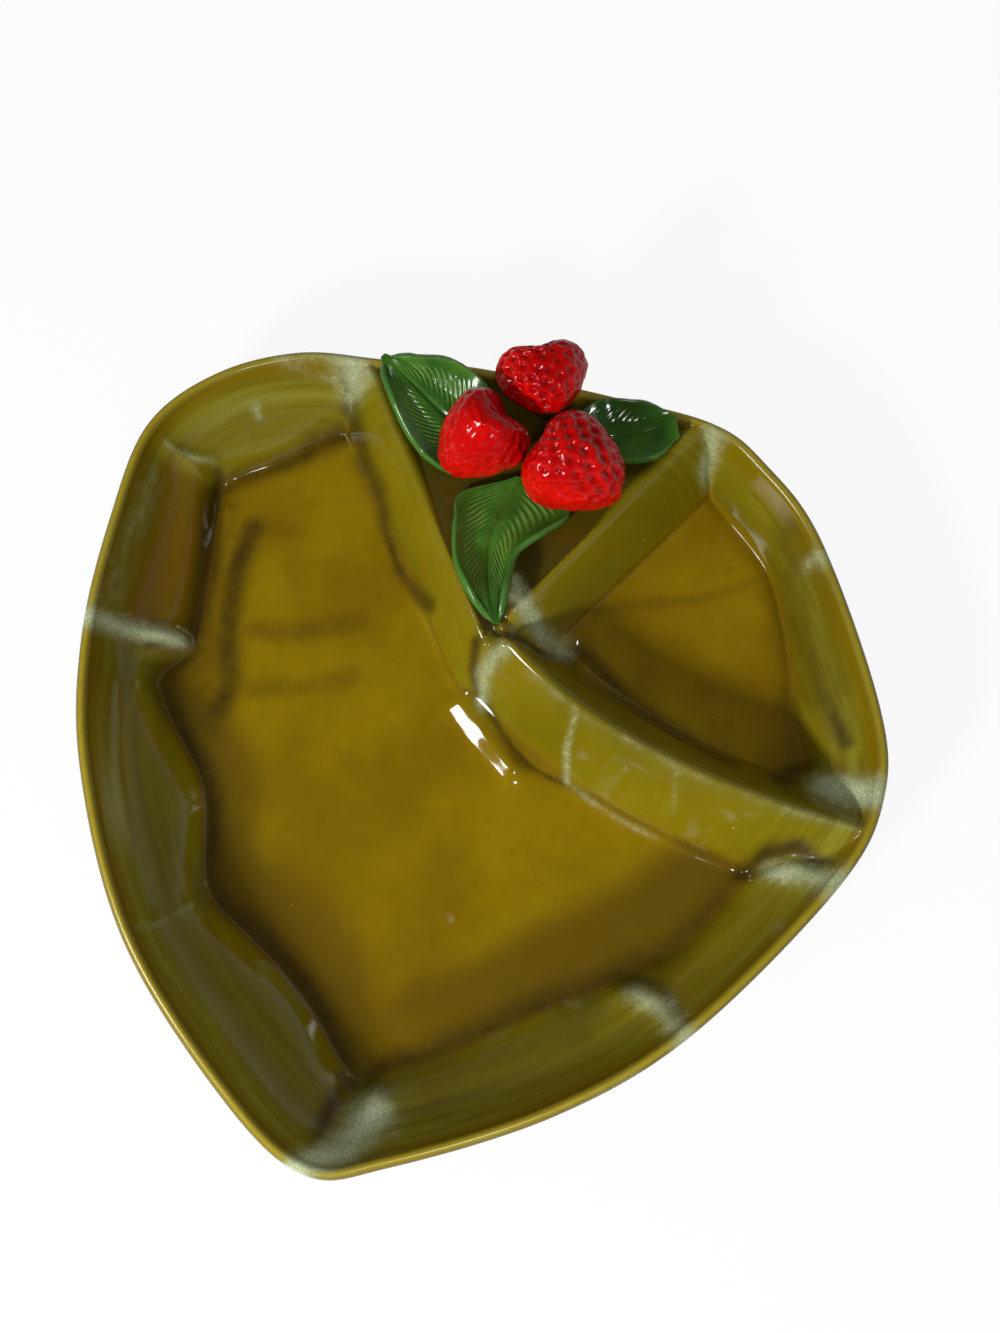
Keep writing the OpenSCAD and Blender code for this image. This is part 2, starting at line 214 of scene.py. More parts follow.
def newMaterial(name, colour):
    material = bpy.data.materials.new(name)
    material.use_nodes = True
    material.diffuse_color = colour
    tree = material.node_tree
    tree.nodes.clear()
    return material, Wire(tree)


def surface(wire, sockets):
    shader = wire.node("BsdfPrincipled", sockets=sockets)
    wire.node("OutputMaterial", sockets={"Surface": shader})


def finishPiece(bm, name, material, node):
    mesh = bpy.data.meshes.new(name)
    bm.to_mesh(mesh)
    bm.free()
    mesh.shade_smooth()
    piece = bpy.data.objects.new(name, mesh)
    bpy.context.scene.collection.objects.link(piece)
    piece.data.materials.append(material)
    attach(piece, "root")
    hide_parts(node)
    return piece


def finishPieces(plans, shape, material):
    for node, plan in plans.items():
        side, kind = node.split("_")
        name = side + "Glazed" + kind.capitalize()
        piece = finishPiece(shape(plan), name, material, node)
        print(node, len(piece.data.polygons), "faces")


# dish

dishLow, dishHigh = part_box("dish_body")
dish = {
    "half": np.array([dishHigh.x - dishLow.x, dishHigh.y - dishLow.y]) / mm / 2,
    "rim": dishHigh.z / mm,
    "lip": 4.5, "body": 6.0,
    "foot": 2.5, "footWidth": 6.0, "footInset": 1.2,
    "wallRun": 36.0, "blend": 4.5,
    "landDrop": 5.0, "noseDrop": 8.0, "noseRun": 48.0,
    "innerFlank": 11.0, "rightFlank": 16.0, "leftFlank": 15.0,
    "dividerFront": 21.0, "dividerBack": 19.0,
    "crest": 4.5,
    "skirt": 0.15,        # least run of the outer wall, as a share of wallRun
    "steepRun": 21.0,     # a wall with less run than this has a thinner lip outside
    "belly": 0.45,        # how much the wall steepens at the lip and at its foot
    # mesh: lines over one stretch of the outline, and rings over each zone
    "linesPerStretch": 28,
    "floorRings": 66, "wallRings": 36, "lipRings": 10, "outerRings": 12, "underRings": 16,
    "wallReach": 1.16,    # share of the wall's run that the wall rings take in
    # groove where the wall meets the floor: share of the run, depth, half width
    "footGroove": (1.04, 0.8, 2.4),
    # hand-made waves: height, then size and share of each, then where they calm down and how far
    "unevenness": 0.35,
    "waves": [(26.0, 0.6), (11.0, 0.25)],
    "calm": ((1.0, 8.0), 24.0),
    "calmRaised": 0.3,    # share of the waves on land and divider
    "calmFloor": 0.3,     # and on the floors
    "lipFade": 6.0,       # ribs, creases and waves fade in over this from the lip
    "footRise": 6.0,      # height over which a floor turns to a wall or flank
    # rim outline in shares of the half sizes, counter-clockwise from the land's right corner
    "outline": [
        (0.61, 0.80), (0.35, 0.875), (0.00, 0.955), (-0.25, 0.98), (-0.48, 1.00), (-0.70, 0.94),
        (-0.87, 0.80), (-0.95, 0.55), (-1.00, 0.24), (-0.98, -0.08), (-0.85, -0.48), (-0.60, -0.83),
        (-0.40, -1.00), (-0.20, -0.985), (0.18, -0.875), (0.50, -0.70), (0.86, -0.37), (0.985, -0.16),
        (0.99, 0.07), (0.87, 0.49), (0.74, 0.69)],
    "panels": [0, 0, 0, 1, 1, 1, 2, 2, 3, 3, 4, 4, 5, 5, 5, 6, 7, 7, 8, 9, 9],
    # how far the wall of each panel runs in, from its start to its end
    "runs": [(0.10, 0.10, 0.10, 0.10), (0.20, 0.45, 0.72, 0.62), (0.66, 0.80, 0.86, 0.86),
             (0.45, 0.72, 0.98, 0.74), (0.78, 1.02, 1.05, 0.96), (0.90, 0.88, 0.95, 0.76),
             (0.67, 0.62, 0.64, 0.67), (0.64, 0.62, 0.60, 0.58), (0.56, 0.44, 0.34, 0.27),
             (0.27, 0.27, 0.24, 0.20)],
    # depth of the flute in each panel, millimetres
    "flutes": [0.0, 1.8, 5.0, 2.0, 2.6, 2.8, 2.2, 0.0, 1.4, 0.6],
    "fluteEnds": 0.6,     # less gives a flute blunter ends
    "jointShare": 0.2,    # share of a stretch over which a run leaves the joint
    "runSmooth": 3,
    "hub": (0.06, 0.26),
    "leftRidge": [(0.017, 0.243), (-0.293, 0.952)],
    "rightRidge": [(0.085, 0.33), (0.585, 0.81)],
    "divider": [(0.05, 0.28), (0.28, -0.04), (0.97, -0.24)],
    "dividerLines": 25,
    # places where a foot is rounded out wider: place, reach, added roundness
    "wideFeet": [((1.0, 9.0), 15.0, 9.0), ((101.0, 92.0), 14.0, 6.0)],
    # how dark the foot of each panel is: pooled glaze with painted shade
    "pools": [0.0, 0.85, 0.75, 0.80, 0.90, 0.80, 0.60, 0.45, 0.55, 0.40],
    "poolLine": 1.06,         # share of the run where it lies
    "poolWidth": (4.0, 7.0),  # up the wall and out over the floor
    "poolJoint": 0.5,         # share of a stretch over which it changes at a joint
    "flankPool": (0.4, 3.0, 0.55),   # at the foot of a flank: height, half width, strength
    "flankPoolRun": (1.0, 0.15),     # share of the wall's run where it starts, and over what
    # painted shadow of the front and left walls, laid in as darker glaze: how far it reaches in over the floor
    # from the foot of each panel
    "gathers": [0.0, 0.0, 0.0, 20.0, 27.0, 27.0, 31.0, 12.0, 0.0, 0.0],
    "gatherSmooth": 18,
    "gatherFade": (8.0, 18.0),   # where its edge starts to fade, and over what
    "gatherFull": 16.0,          # a reach that gives it its full strength
    "gatherStart": (0.9, 0.2),   # share of the run, as above
    "gatherGap": ((-31.0, -116.0), 15.0, 0.75),    # it thins again at the front point: place, reach, share
    # the deep flute whose glaze runs brown: its panel, its ends along it and down the wall
    "troughPanel": 2,
    "troughEnds": (0.0, 0.12, 1.0, 0.06),
    "troughBand": (0.02, 0.4, 1.18, 0.12),
    "landShade": (1.4, 1.6),     # painted shade low on the land, under the leaves, in a dark glaze colour: from this height over it, fading over this
    "outerMint": 0.6,
}


def stroke(path, width, **levels):
    # path in millimetres, half width at its start and end
    return {"path": path, "width": width, **levels}


# rounded ribs at the panel joints, from rim to foot
ribs = [
    stroke([(-51, 157), (-47.8, 148.6)], (9, 4), height=1.2),
    stroke([(-147, 46), (-134.6, 46), (-117, 46.4)], (4, 3), height=2.2),
    stroke([(-60, -152), (-46.7, -146.2), (-36, -129)], (6, 8), height=3.2),
    stroke([(70.8, -107.5), (63.5, -93.5), (51.5, -90.4)], (4.5, 6), height=2.6),
    stroke([(127, -56.6), (114.8, -46.1), (98.3, -48.2)], (6, 5), height=2.6),
    stroke([(143, -18.5), (124, -9.4)], (7, 6), height=2.6),
    stroke([(138, 67.2), (126, 72)], (6, 4), height=1.6),
    stroke([(90.6, 120.8), (88.7, 114)], (4, 3), height=1.2),
    stroke([(-129, 120.4), (-117.7, 118.7), (-107.8, 120.3)], (4, 3), height=1.4),
    stroke([(-122, -70.5), (-113.4, -66.3), (-106.3, -58.9)], (4, 3), height=1.0),
    stroke([(-101.8, 103.6), (-104.9, 84.5), (-107.1, 64.1), (-110, 48)], (2.4, 2.0), height=0.9),
    stroke([(-38.8, 106.7), (-37.3, 87.2), (-26.1, 63.8), (-11.3, 42.1)], (2.2, 2.2), height=0.5),
    stroke([(32.3, -9.1), (41.8, -17.3), (52.3, -24.3), (66.5, -31.7), (83, -36.7)], (2.6, 2.2), height=0.35),
    stroke([(-7.5, 22), (2.2, 9), (12.9, -4.3)], (5, 5), height=2.9),
]

# creases cut into the form, darkened as pooled glaze with painted shade
creases = [
    stroke([(56.3, -85.4), (63.3, -88.7), (68.3, -95.7), (72, -106)], (5, 2), depth=1.0, strength=0.9),
    stroke([(98.4, -46.0), (106.8, -39.6), (117.4, -38.9), (127, -46)], (4, 2.5), depth=1.6, strength=1.0),
    stroke([(-46.3, -122.2), (-52, -130.7), (-56.5, -141.6)], (6, 4), depth=1.0, strength=0.95),
    stroke([(-48.9, -120.8), (-41.6, -121.5), (-34.5, -125.2)], (5, 4.5), depth=0.5, strength=0.75),
    stroke([(114, -9.5), (119, -6), (124, -4)], (6, 5), depth=0.6, strength=0.85),
    stroke([(-53.6, 142.9), (-52.5, 147.6), (-54.3, 151.5)], (4, 2.5), depth=0.8, strength=0.9),
    stroke([(-105.7, 116.3), (-108.3, 103.6), (-109.7, 84.5), (-111.4, 64.1), (-113.2, 49.1)],
           (3.5, 4.5), depth=1.5, strength=1.0),
    stroke([(-112.2, 47.1), (-119.2, 44.2), (-128, 42.5)], (4.5, 2), depth=0.8, strength=0.9),
    stroke([(-1.5, 39.5), (-2.8, 32), (-1.4, 26), (2.5, 18.5), (11.5, 4.5), (19, -3.5), (26, -7.6), (33, -11)],
           (2.8, 1.2), depth=0.05, strength=0.9),
    stroke([(6, 43), (15.1, 41.5), (24.6, 36.4), (38, 44)], (2, 4.5), depth=2.2, strength=0.9),
]

# soft brown strokes on the floors and walls: painted shade and shadow, and dark pooled glaze along a few feet
paintedShades = [
    stroke([(-91.4, 95.1), (-96.4, 81.7), (-99, 68.9), (-100, 48.4), (-98.4, 30.2), (-102, 20)],
           (7, 7), strength=0.85),
    stroke([(-103, 105), (-106, 55), (-105, 15)], (9, 10), strength=0.5),
    stroke([(-91.4, 95.1), (-74, 93.8)], (7, 5), strength=0.36),
    stroke([(-96.3, 52.9), (-71.4, 51.7), (-48.2, 55.9)], (7, 6), strength=0.50),
    stroke([(-100.3, 29), (-74.5, 27.3), (-50.8, 33.1)], (7, 6), strength=0.46),
    stroke([(-52.4, 141.5), (-47.9, 123.2), (-40.6, 106.9), (-38.4, 96), (-32.4, 77.4), (-20.2, 59.6)],
           (4.5, 3.5), strength=0.85),
    stroke([(45.5, 60.5), (66.9, 63), (89.2, 65.5), (111.8, 73.6)], (4, 3), strength=0.4),
    stroke([(116, 90), (117, 77), (117, 62)], (5, 5), strength=0.45),
    stroke([(119, 86), (123.5, 64), (126, 43), (129, 23), (136, 6)], (6, 6), strength=0.62),
    stroke([(127, 64), (131, 40), (135, 20)], (7, 6), strength=0.45),
    stroke([(133.5, 12), (136, 6), (137.5, 1)], (3.2, 3.5), strength=0.85),
    stroke([(-17.5, -124), (11, -115.5), (36, -107)], (9, 8), strength=0.45),
    stroke([(39.5, 42.5), (46, 36), (58, 22), (75, 8), (95, -4)], (5, 6), strength=0.85),
    stroke([(14, 0), (31.4, -10), (42.7, -15.9)], (3.5, 2.5), strength=0.55),
]

# pale breaks of the glaze
breaks = [
    stroke([(-53, 158), (-49, 147)], (12, 6), strength=0.8),
    stroke([(-80, 155), (-56, 156.5)], (5, 8), strength=0.4),
    stroke([(-151, 46), (-134.6, 46.2), (-117, 46.4)], (5, 3), strength=1.1),
    stroke([(-62, -153), (-46.7, -146.2), (-37, -134)], (4.5, 7.5), strength=1.25),
    stroke([(72, -110), (66, -98), (57, -91.5)], (5.5, 5), strength=0.75),
    stroke([(130, -57), (118.8, -48.6), (108, -47.4)], (7, 4), strength=0.9),
    stroke([(143, -22), (129, -14)], (6.5, 5), strength=1.15),
    stroke([(140, 67), (128, 71)], (9, 4), strength=0.55),
    stroke([(91, 122), (88.7, 114)], (5, 4), strength=0.7),
    stroke([(13, 63), (17, 53), (24.7, 45.5), (30, 43)], (3, 6), strength=0.9),
    stroke([(8, 36), (1.5, 30), (0.5, 20)], (4.5, 3), strength=0.6),
    stroke([(36.2, 12.2), (32.7, 0.2), (33.4, -9.9)], (1.4, 1.8), strength=0.55),
    stroke([(72.6, -11.6), (72.4, -24)], (1.2, 1.0), strength=0.42),
    stroke([(32.3, -9.1), (41.8, -17.3), (52.3, -24.3), (66.5, -31.7)], (1.8, 1.4), strength=0.34),
    stroke([(-122, -70.5), (-113.4, -66.3), (-106.3, -58.9)], (1.8, 1.4), strength=0.36),
    stroke([(-124, 121), (-113.4, 119), (-107, 120.3)], (2.0, 1.6), strength=0.36),
    stroke([(56, -125), (28, -141), (-3, -150)], (3.5, 3.0), strength=0.7),
    stroke([(-90.5, 140), (-89.5, 137.5)], (2.4, 2.0), strength=0.5),
    stroke([(18, 27), (41, 8), (75, -12), (108, -26), (138, -35)], (2.2, 3.0), strength=0.26),
    stroke([(-128, 108), (-138, 75), (-142, 54)], (4.5, 5.5), strength=0.30),
    stroke([(-11.4, -62.3), (-10.8, -62.3)], (1.2, 1.2), strength=0.6),
]
breakEdge = 1.5    # falls off more slowly than the other strokes


class DishForm:
    # the upper surface of the dish over its plan
    def __init__(self, d):
        self.d = d
        half = d["half"]
        shares = np.array(d["outline"])
        count, steps = len(shares), d["linesPerStretch"]
        t = np.arange(steps) / steps
        raw = np.concatenate([
            spline(shares[k - 1], shares[k], shares[(k + 1) % count], shares[(k + 2) % count], t[:, None])
            for k in range(count)])
        low, high = raw.min(0), raw.max(0)
        self.rim = mix(-half, half, (raw - low) / (high - low))
        self.hub = np.array(d["hub"]) * half
        self.leftRidge = np.array(d["leftRidge"]) * half
        self.rightRidge = np.array(d["rightRidge"]) * half
        a, b, c = np.array(d["divider"]) * half
        u = np.linspace(0, 1, d["dividerLines"])[:, None]
        self.divider = mix(mix(a, b, u), mix(b, c, u), u)
        self.floor = d["foot"] + d["body"]
        self.land = d["rim"] - d["landDrop"]
        self.nose = d["rim"] - d["noseDrop"]
        self.wallTop = d["rim"] - d["lip"] / 2
        along = np.roll(self.rim, -1, 0) - np.roll(self.rim, 1, 0)
        self.reach = np.abs(cross(self.rim - self.hub, along)) / np.hypot(along[:, 0], along[:, 1])
        around = np.cumsum(awayFrom(self.rim, np.roll(self.rim, 1, 0)))
        self.around = np.minimum(around, around[-1] - around)
        self.readPanels(count, steps)
        self.outerRun = np.maximum(self.run, d["wallRun"] * d["skirt"])
        self.outerLip = d["lip"] * np.minimum(1.0, self.outerRun / d["steepRun"])

    def readPanels(self, count, steps):
        d = self.d
        panels = d["panels"]

        def panelRun(k, t):
            panel = panels[k % count]
            members = [j for j in range(count) if panels[j] == panel]
            place = (k % count - members[0] + t) / len(members)
            return d["wallRun"] * tableAt(d["runs"][panel], place), place

        runs, flutes, troughs, pools, gathers = [], [], [], [], []
        for k in range(count):
            panel, before = panels[k], panels[k - 1]
            joint = panel != before
            meeting = (panelRun(k + count - 1, 1)[0] + panelRun(k, 0)[0]) / 2
            for s in range(steps):
                run, place = panelRun(k, s / steps)
                pool = d["pools"][panel]
                if joint:
                    run = mix(meeting, run, ease(s / steps / d["jointShare"]))
                    pool = mix(d["pools"][before], pool, 0.5 + 0.5 * ease(s / steps / d["poolJoint"]))
                runs.append(run)
                pools.append(pool)
                flutes.append(d["flutes"][panel] * math.sin(math.pi * place) ** d["fluteEnds"])
                gathers.append(d["gathers"][panel])
                troughs.append(window(place, *d["troughEnds"]) if panel == d["troughPanel"] else 0.0)
        self.run = smoothed(runs, d["runSmooth"])
        self.flute = np.array(flutes, float)
        self.trough = np.array(troughs, float)
        self.pool = np.array(pools, float)
        self.gather = smoothed(gathers, d["gatherSmooth"])

    def flank(self, distance, run, fall):
        c = self.d["crest"]
        return fall * (np.hypot(distance, c) - c) / (math.hypot(run, c) - c)

    def ridge(self, place, run, inside):
        d = self.d
        crest = mix(self.nose, d["rim"], place[1])
        return np.where(inside, crest - self.flank(place[0], d["innerFlank"], d["landDrop"] * 2),
                        crest - self.flank(place[0], run, crest - self.floor))

    def raised(self, points):
        d = self.d
        left = onStretch(points, *self.leftRidge)
        right = onStretch(points, *self.rightRidge)
        onLand = (left[2] < 0) & (right[2] > 0)
        ridges = np.maximum(self.ridge(left, d["leftFlank"], left[2] < 0),
                            self.ridge(right, d["rightFlank"], right[2] > 0))
        fromHub = awayFrom(points, self.hub)
        hollow = mix(self.nose - d["landDrop"] / 2, self.land, ease(fromHub / d["noseRun"]))
        land = np.maximum(ridges, np.where(onLand, hollow, 0.0))
        place = onPath(points, self.divider)
        crest = mix(self.nose, d["rim"], place[1] ** 3)
        front = crest - self.flank(place[0], d["dividerFront"], crest - self.floor)
        back = crest - self.flank(place[0], d["dividerBack"], crest - self.floor)
        return softMax(land, np.where(place[2] > 0, back, front), d["blend"]), onLand

    def wall(self, inset, run, flute):
        d = self.d
        q = np.maximum(0.0, inset - d["lip"]) / run
        fall = q + d["belly"] * np.sin(2 * math.pi * np.minimum(q, 1.0)) / (2 * math.pi)
        hollow = flute * np.sin(math.pi * np.clip(q, 0, 1)) ** 1.2
        return mix(self.wallTop, self.floor, fall) - hollow

    def bowl(self, inset, run, flute, blend):
        return softMax(self.floor, self.wall(inset, run, flute), blend)

    def onRays(self, inset):
        share = 1.0 - inset / self.reach
        return self.hub + share[..., None] * (self.rim - self.hub)


form = DishForm(dish)
lines = len(form.rim)
print("dish outline,", lines, "lines")


def strokes(points, paths, key="strength", power=2.0):
    # the strongest of several soft strokes at each point
    total = np.zeros(points.shape[:-1])
    for one in paths:
        distance, share, _ = onPath(points, [np.array(p, float) for p in one["path"]])
        width = mix(*one["width"], share)
        total = np.maximum(total, one[key] * np.exp(-(distance / width) ** power))
    return total


rings, marks = [], []
markNames = ("mint", "pool", "gather", "land", "trough", "height", "inset", "down", "bare")


def addRing(points, z, **values):
    rings.append(np.column_stack([points, np.broadcast_to(z, (lines,))]) * mm)
    values = {**dict.fromkeys(markNames, 0.0), **values, "around": form.around * mm}
    marks.append({key: np.broadcast_to(value, (lines,)) for key, value in values.items()})


def insideRings():
    d = dish
    wallReach = form.run * d["wallReach"]
    foot = 1.0 - (d["lip"] + wallReach) / form.reach
    floorShares = [foot * k / d["floorRings"] for k in range(d["floorRings"])]
    wallShares = [1.0 - (d["lip"] + wallReach * (1 - k / d["wallRings"])) / form.reach
                  for k in range(d["wallRings"])]
    shares = np.array(floorShares + wallShares)
    points = form.hub + shares[..., None] * (form.rim - form.hub)
    inset = form.reach * (1.0 - shares)
    raised, onLand = form.raised(points)
    blend = np.full(inset.shape, d["blend"])
    for place, reach, add in d["wideFeet"]:
        blend += add * bump(awayFrom(points, place), reach)
    bowl = form.bowl(inset, form.run, form.flute, blend)
    z = np.minimum(d["rim"], softMax(bowl, raised, blend))

    # ribs, creases and hand-made unevenness over the plain form
    q = (inset - d["lip"]) / form.run
    onWall = ease((inset - d["lip"]) / d["lipFade"])
    lowRaised = ease((form.floor + d["footRise"] - raised) / d["footRise"])
    slope = ease((z - form.floor) / d["footRise"])
    grooveLine, grooveDepth, grooveWidth = d["footGroove"]
    footLine = bump(inset - d["lip"] - form.run * grooveLine, grooveWidth) * lowRaised
    wave = sum(waviness(points, size, k + 1) * share for k, (size, share) in enumerate(d["waves"]))
    calmPlace, calmReach = d["calm"]
    wave = wave * (1 - bump(awayFrom(points, calmPlace), calmReach))
    wave = wave * mix(1.0, d["calmRaised"], ease((raised - form.floor) / d["footRise"]))
    z = z + strokes(points, ribs, "height") * onWall
    z = z - footLine * grooveDepth - strokes(points, creases, "depth") * onWall
    z = z + wave * d["unevenness"] * onWall * mix(d["calmFloor"], 1.0, slope)
    z = np.minimum(z, d["rim"])

    # where the glaze pools dark in the feet and creases, with painted shade; the painted shadow of the front
    # and left walls over the floor; and where the glaze runs brown
    fromFoot = inset - d["lip"] - form.run * d["poolLine"]
    wallPool = bump(fromFoot, np.where(fromFoot < 0, *d["poolWidth"])) * lowRaised * form.pool
    poolHeight, poolSpread, poolStrength = d["flankPool"]
    flankStart, flankRun = d["flankPoolRun"]
    flankPool = bump(raised - form.floor - poolHeight, poolSpread) * ease((q - flankStart) / flankRun)
    pool = np.maximum(np.maximum(wallPool, flankPool * poolStrength), strokes(points, creases))
    # the painted shade and shadow strokes join the pooled glaze in the same dark mark
    pool = np.maximum(pool, strokes(points, paintedShades))
    fadeStart, fadeRun = d["gatherFade"]
    gatherStart, gatherRun = d["gatherStart"]
    # painted shadow: the cast shadow of the front and left walls over the floor, laid in as a darker glaze
    # colour
    gather = 1 - ease((fromFoot - form.gather + fadeStart) / fadeRun)
    gather = gather * ease(form.gather / d["gatherFull"]) * ease((q - gatherStart) / gatherRun) * lowRaised
    gapPlace, gapReach, gapShare = d["gatherGap"]
    gather = gather * (1 - gapShare * bump(awayFrom(points, gapPlace), gapReach))
    shadeHeight, shadeRun = d["landShade"]
    # painted shade low on the land, under and between the leaves and berries
    land = np.where(onLand, ease((form.land + shadeHeight - z) / shadeRun), 0.0)
    trough = form.trough * window(q, *d["troughBand"])
    mint = strokes(points, breaks, power=breakEdge)
    height = (z - form.floor) / (d["rim"] - form.floor)
    for k in range(len(shares)):
        addRing(points[k], z[k], mint=mint[k], pool=pool[k], land=land[k], trough=trough[k],
                gather=gather[k], height=height[k], inset=inset[k], down=np.clip(q[k], 0, 2))


def outsideRings():
    d = dish
    # over the lip
    for k in range(d["lipRings"], -1, -1):
        turn = math.pi * k / d["lipRings"]
        inset = d["lip"] / 2 * (1 - math.cos(turn))
        points = form.onRays(inset * np.ones(lines))
        z = np.full(lines, form.wallTop + d["lip"] / 2 * math.sin(turn))
        if turn > math.pi / 2:
            z = np.maximum(z, np.minimum(d["rim"], form.raised(points)[0]))
        addRing(points, z, mint=strokes(points, breaks, power=breakEdge), height=1.0, inset=inset)
    # down the outer wall
    outerFlute = form.flute * form.run / form.outerRun
    for k in range(d["outerRings"] + 1):
        down = k / d["outerRings"]
        depth = form.outerRun * k / d["outerRings"]
        z = form.bowl(d["lip"] + depth, form.outerRun, outerFlute, d["blend"]) - d["body"]
        points = form.onRays(form.outerLip + depth)
        addRing(points, z, mint=strokes(points, breaks) * (1 - down) * d["outerMint"], height=0.6,
                inset=-form.outerLip - depth)
    # round the bare foot and under the floor, with insets far from any band of the lip
    footStart = d["lip"] + form.outerRun + d["footInset"]
    for add in (0.0, 0.5, 1.0):
        addRing(form.onRays(footStart + d["footWidth"] * add), 0.0, inset=-50.0, down=2.0, bare=1.0)
    inner = 1.0 - (footStart + d["footInset"] + d["footWidth"]) / form.reach
    ways = np.array([(0, 0), (1, 0), (0, 1), (-1, 0), (0, -1)]) * d["body"] / 2
    for share in np.linspace(1.0, 0.0, d["underRings"]):
        points = form.hub + (inner * share)[:, None] * (form.rim - form.hub)
        lowest = np.min([softMax(form.floor, form.raised(points + way)[0], d["blend"]) for way in ways], 0)
        addRing(points, lowest - d["body"], height=0.3, inset=-60.0, down=2.0)


def ringSkin():
    # one closed skin, pulled ring by ring from the hub over the lip to the hub underneath
    bm = bmesh.new()
    bmesh.ops.create_circle(bm, cap_ends=False, segments=lines, radius=1.0)
    bm.verts.ensure_lookup_table()
    lineOf = bm.verts.layers.int.new("line")
    layers = {key: bm.verts.layers.float.new(key) for key in marks[0]}
    ring = list(bm.verts)
    for i, v in enumerate(ring):
        v[lineOf] = i
    edges = list(bm.edges)
    for k in range(len(rings)):
        if k:
            made = bmesh.ops.extrude_edge_only(bm, edges=edges)["geom"]
            ring = [g for g in made if isinstance(g, bmesh.types.BMVert)]
            fresh = set(ring)
            edges = [g for g in made if isinstance(g, bmesh.types.BMEdge)
                     and g.verts[0] in fresh and g.verts[1] in fresh]
        places = rings[k].tolist()
        values = {key: marks[k][key].tolist() for key in layers}
        for v in ring:
            i = v[lineOf]
            v.co = places[i]
            for key, layer in layers.items():
                v[layer] = values[key][i]
    bm.verts.layers.int.remove(lineOf)
    bmesh.ops.remove_doubles(bm, verts=bm.verts, dist=1e-6)
    bmesh.ops.recalc_face_normals(bm, faces=bm.faces)
    return bm


oliveTones = {
    "amberDark": (0.186, 0.112, 0.0008, 1), "amberLight": (0.250, 0.160, 0.001, 1),
    "amberMottle": (0.150, 0.083, 0.0008, 1),
    "greenDark": (0.125, 0.096, 0.002, 1), "greenLight": (0.182, 0.150, 0.004, 1),
    "greenStreak": (0.175, 0.105, 0.001, 1),
    "underLip": (0.25, 0.25, 0.030, 1), "ochreLine": (0.175, 0.108, 0.001, 1),
    "lip": (0.36, 0.27, 0.015, 1), "lipEdge": (0.075, 0.050, 0.004, 1),
    # the last colour in this row is the painted shadow over the floor; in the next row come pooled glaze with
    # painted shade, and painted shade on the land
    "trough": (0.150, 0.084, 0.001, 1), "gather": (0.098, 0.060, 0.003, 1),
    "pool": (0.036, 0.021, 0.003, 1), "land": (0.045, 0.030, 0.003, 1),
    "mintWash": (0.18, 0.19, 0.040, 1), "mint": (0.48, 0.54, 0.34, 1), "crackle": (0.15, 0.17, 0.06, 1),
    "goldSpeck": (0.75, 0.62, 0.28, 1), "darkSpeck": (0.02, 0.012, 0.004, 1),
    "bareClay": (0.42, 0.31, 0.20, 1),
}
# bands along the lip, in millimetres in from its outer edge: start, full, fading, gone
oliveBands = {
    "underLip": (5.0, 8.0, 8.0, 19.0),
    "ochreLine": (2.6, 4.4, 5.0, 8.5),
    "lip": (-5.0, -0.5, 2.0, 4.0),
    "lipEdge": (-4.4, -1.0, 0.3, 1.5),
}
oliveGrain = {"cloud": 22.0, "mottle": 150.0, "fine": 1100.0, "crackle": 620.0, "gold": 170.0, "dark": 120.0}


